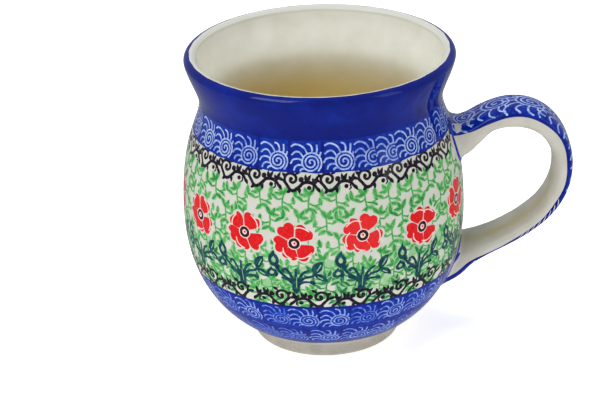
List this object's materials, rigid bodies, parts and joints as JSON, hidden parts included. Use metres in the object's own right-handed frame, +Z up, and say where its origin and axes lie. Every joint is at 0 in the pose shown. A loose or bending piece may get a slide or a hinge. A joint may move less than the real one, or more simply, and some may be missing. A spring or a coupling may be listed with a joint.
{
  "type": "stoneware mug",
  "caption": "Bellied stoneware drinking mug with a flared collar, a low foot ring and a strap handle, painted with folk flowers.",
  "frame": {"origin": "on the mug's axis, in the plane that the foot ring rests on", "axes": "+Z up along the mug's axis, +X from the axis towards the handle, +Y to the left of the handle seen from it"},
  "size_m": [0.1349, 0.0976, 0.105],
  "materials": {
    "bare_stoneware": "matte, fired bare",
    "joint_slip": "matte, fired",
    "painted_glaze": "clear gloss over stamped cobalt, black, green and red",
    "liner_glaze": "gloss",
    "handle_glaze": "clear gloss over stamped cobalt on the back, cream elsewhere"
  },
  "bodies": {
    "root": {"body_casting": "bare_stoneware", "handle_casting": "bare_stoneware", "upper_slip_joint": "joint_slip", "lower_slip_joint": "joint_slip", "outer_glaze": "painted_glaze", "inner_glaze": "liner_glaze", "handle_glaze": "handle_glaze", "base_glaze": "liner_glaze"}
  },
  "joints": []
}
